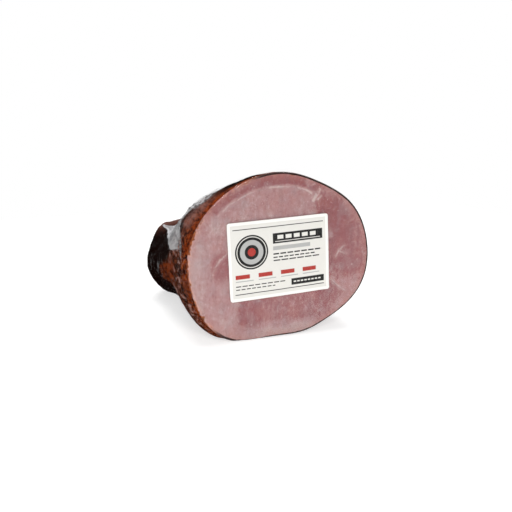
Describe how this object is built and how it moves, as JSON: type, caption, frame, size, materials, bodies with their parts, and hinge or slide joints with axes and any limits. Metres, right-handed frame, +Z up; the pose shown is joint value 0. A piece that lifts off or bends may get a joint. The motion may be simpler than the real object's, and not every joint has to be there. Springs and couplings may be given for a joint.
{
  "type": "bone-in ham",
  "caption": "Shank half of a smoked bone-in ham lying on its side, sealed in tight clear film, with a paper label on the cut face.",
  "frame": {"origin": "on the table, under the middle of the whole pack's box", "axes": "+Z up from the table, -Y out of the cut face, +Y along the leg towards the hock, +X to the right as seen from the cut face"},
  "size_m": [0.207, 0.246, 0.1713],
  "materials": {
    "ham_in_film": "cured pink meat and dark smoked rind under clear shrink film",
    "label": "satin off-white paper with plain blocks of grey, black and red"
  },
  "bodies": {
    "root": {"ham_in_film": "ham_in_film", "label": "label"}
  },
  "joints": []
}
